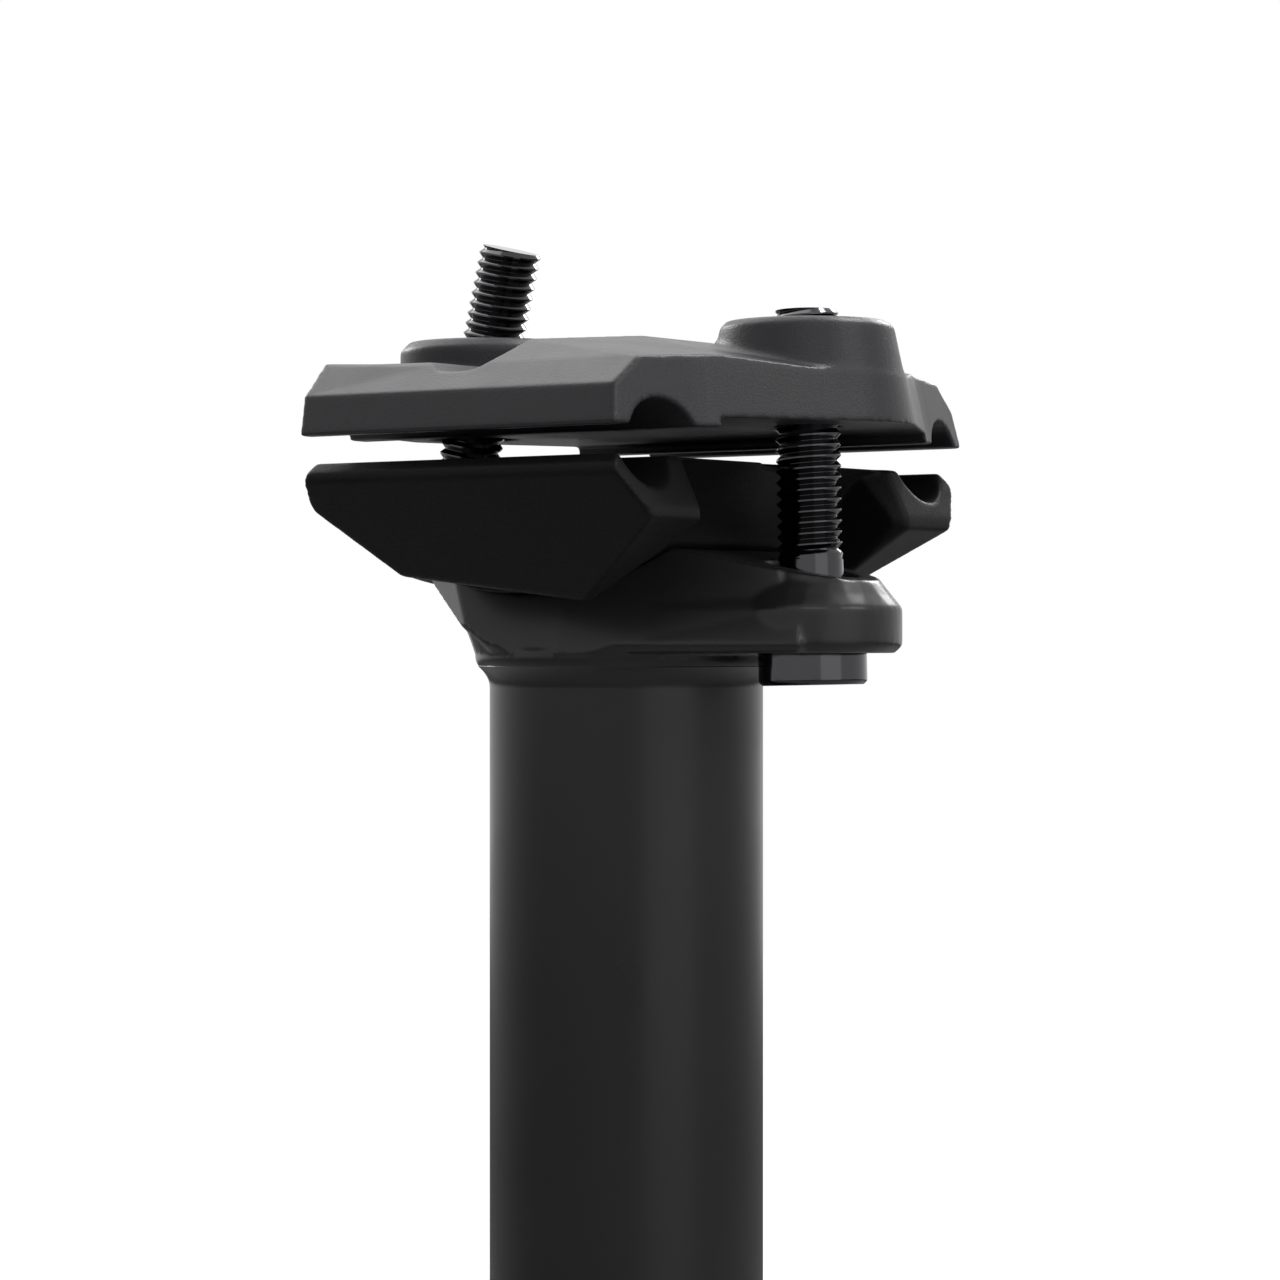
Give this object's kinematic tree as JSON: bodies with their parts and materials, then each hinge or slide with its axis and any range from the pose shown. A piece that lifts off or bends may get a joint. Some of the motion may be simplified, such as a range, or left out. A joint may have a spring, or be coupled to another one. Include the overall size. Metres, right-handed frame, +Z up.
{
  "type": "bicycle seatpost",
  "caption": "Straight round bicycle seatpost with a forged head, a rocking cradle and an upper clamp that two screws pull down on the saddle rails.",
  "frame": {"origin": "centre of the tube at its cut lower end, where the post goes down into the seat tube (the mount is stated 0.3 mm above it, where the chamfer of the cut end gives way to the full wall)", "axes": "+Z up along the tube, +X forward towards the front screw, +Y to the left across the saddle rails"},
  "size_m": [0.06, 0.056, 0.3719],
  "materials": {
    "post_black": "satin black anodised",
    "clamp_black": "bead-blasted black anodised",
    "screw_steel": "glossy black-plated steel"
  },
  "bodies": {
    "root": {"post": "post_black", "lower_cradle": "clamp_black", "upper_clamp": "clamp_black", "front_screw": "screw_steel", "rear_screw": "screw_steel", "rear_nut": "screw_steel"}
  },
  "joints": []
}
